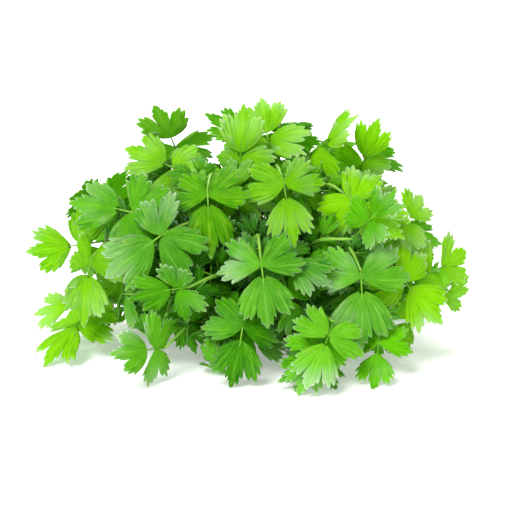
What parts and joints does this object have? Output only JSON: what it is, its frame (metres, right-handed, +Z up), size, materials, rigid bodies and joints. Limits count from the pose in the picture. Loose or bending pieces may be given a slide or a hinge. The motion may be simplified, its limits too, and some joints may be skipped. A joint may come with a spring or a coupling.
{
  "type": "parsley bunch",
  "caption": "Bunch of fresh flat-leaved parsley lying on its side, long thin stems in a bundle behind and a mound of toothed leaves in front.",
  "frame": {"origin": "on the surface the bunch lies on, under the middle of its box", "axes": "+Z up, +Y from the leaves to the cut ends of the stems, +X across the leafy mound"},
  "size_m": [0.2566, 0.2976, 0.1416],
  "materials": {
    "leaf_bright": "thin young leaf, soft satin, lets light through",
    "leaf_green": "mature leaf, satin upper side with fine veins",
    "leaf_pale": "leaf with a pale sheen, satin with fine veins",
    "stem": "smooth fresh stem, fine grooves"
  },
  "bodies": {
    "root": {"sprig_01": "leaf_pale", "sprig_02": "leaf_green", "sprig_03": "leaf_green", "sprig_04": "leaf_pale", "sprig_05": "leaf_bright", "sprig_06": "leaf_bright", "sprig_07": "leaf_green", "sprig_08": "leaf_bright", "sprig_09": "leaf_bright", "sprig_10": "leaf_bright", "sprig_11": "leaf_bright", "sprig_12": "leaf_bright", "sprig_13": "leaf_bright", "sprig_14": "leaf_bright", "sprig_15": "leaf_bright", "sprig_16": "leaf_pale", "sprig_17": "leaf_green", "sprig_18": "leaf_green", "sprig_19": "leaf_green", "sprig_20": "leaf_pale", "sprig_21": "leaf_pale", "sprig_22": "leaf_green", "sprig_23": "leaf_bright", "sprig_24": "leaf_bright", "sprig_25": "leaf_bright", "sprig_26": "leaf_green", "sprig_27": "leaf_bright", "sprig_28": "leaf_green", "sprig_29": "leaf_green", "sprig_30": "leaf_green", "sprig_31": "leaf_bright", "sprig_32": "leaf_bright", "sprig_33": "leaf_bright", "sprig_34": "leaf_bright", "sprig_35": "leaf_bright", "sprig_36": "leaf_pale"}
  },
  "joints": []
}
